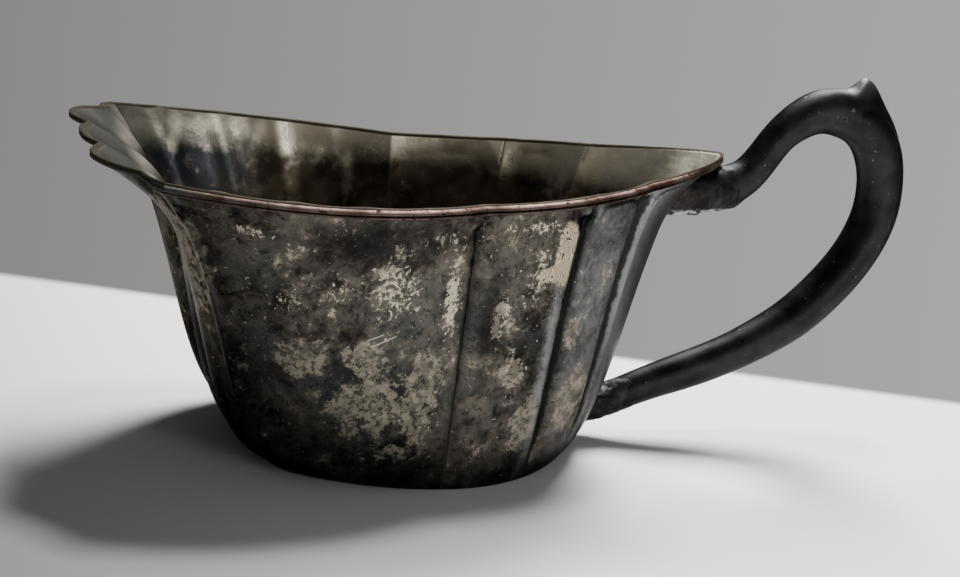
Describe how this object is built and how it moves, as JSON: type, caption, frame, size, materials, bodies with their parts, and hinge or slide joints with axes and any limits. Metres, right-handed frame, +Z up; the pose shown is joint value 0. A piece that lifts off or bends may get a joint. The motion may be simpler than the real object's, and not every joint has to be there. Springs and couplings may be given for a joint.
{
  "type": "cream jug",
  "caption": "Small oval cream jug of tarnished silver plate with fluted sides, a scalloped pouring lip, a wired rim and a cast loop handle with a thumb spur.",
  "frame": {"origin": "middle of the flat underside of the base, on the surface that the jug stands on", "axes": "+X from the lip towards the handle, +Z up, Y = 0 is the plane of symmetry"},
  "size_m": [0.1491, 0.0634, 0.0688],
  "materials": {
    "tarnished_silver": "heavily tarnished silver plate over copper, satin, mottled grey-brown with worn pale patches",
    "worn_copper": "silver plate worn through to pink copper on the beads, dark tarnish in the groove",
    "dark_cast_metal": "cast white metal, silver plated and tarnished nearly black, satin",
    "dull_solder": "dull grey tin solder, rough and lumpy, partly blackened"
  },
  "bodies": {
    "root": {"body_wall": "tarnished_silver", "base_plate": "tarnished_silver", "rim_wire": "worn_copper", "handle": "dark_cast_metal", "upper_solder": "dull_solder", "lower_solder": "dull_solder"}
  },
  "joints": []
}
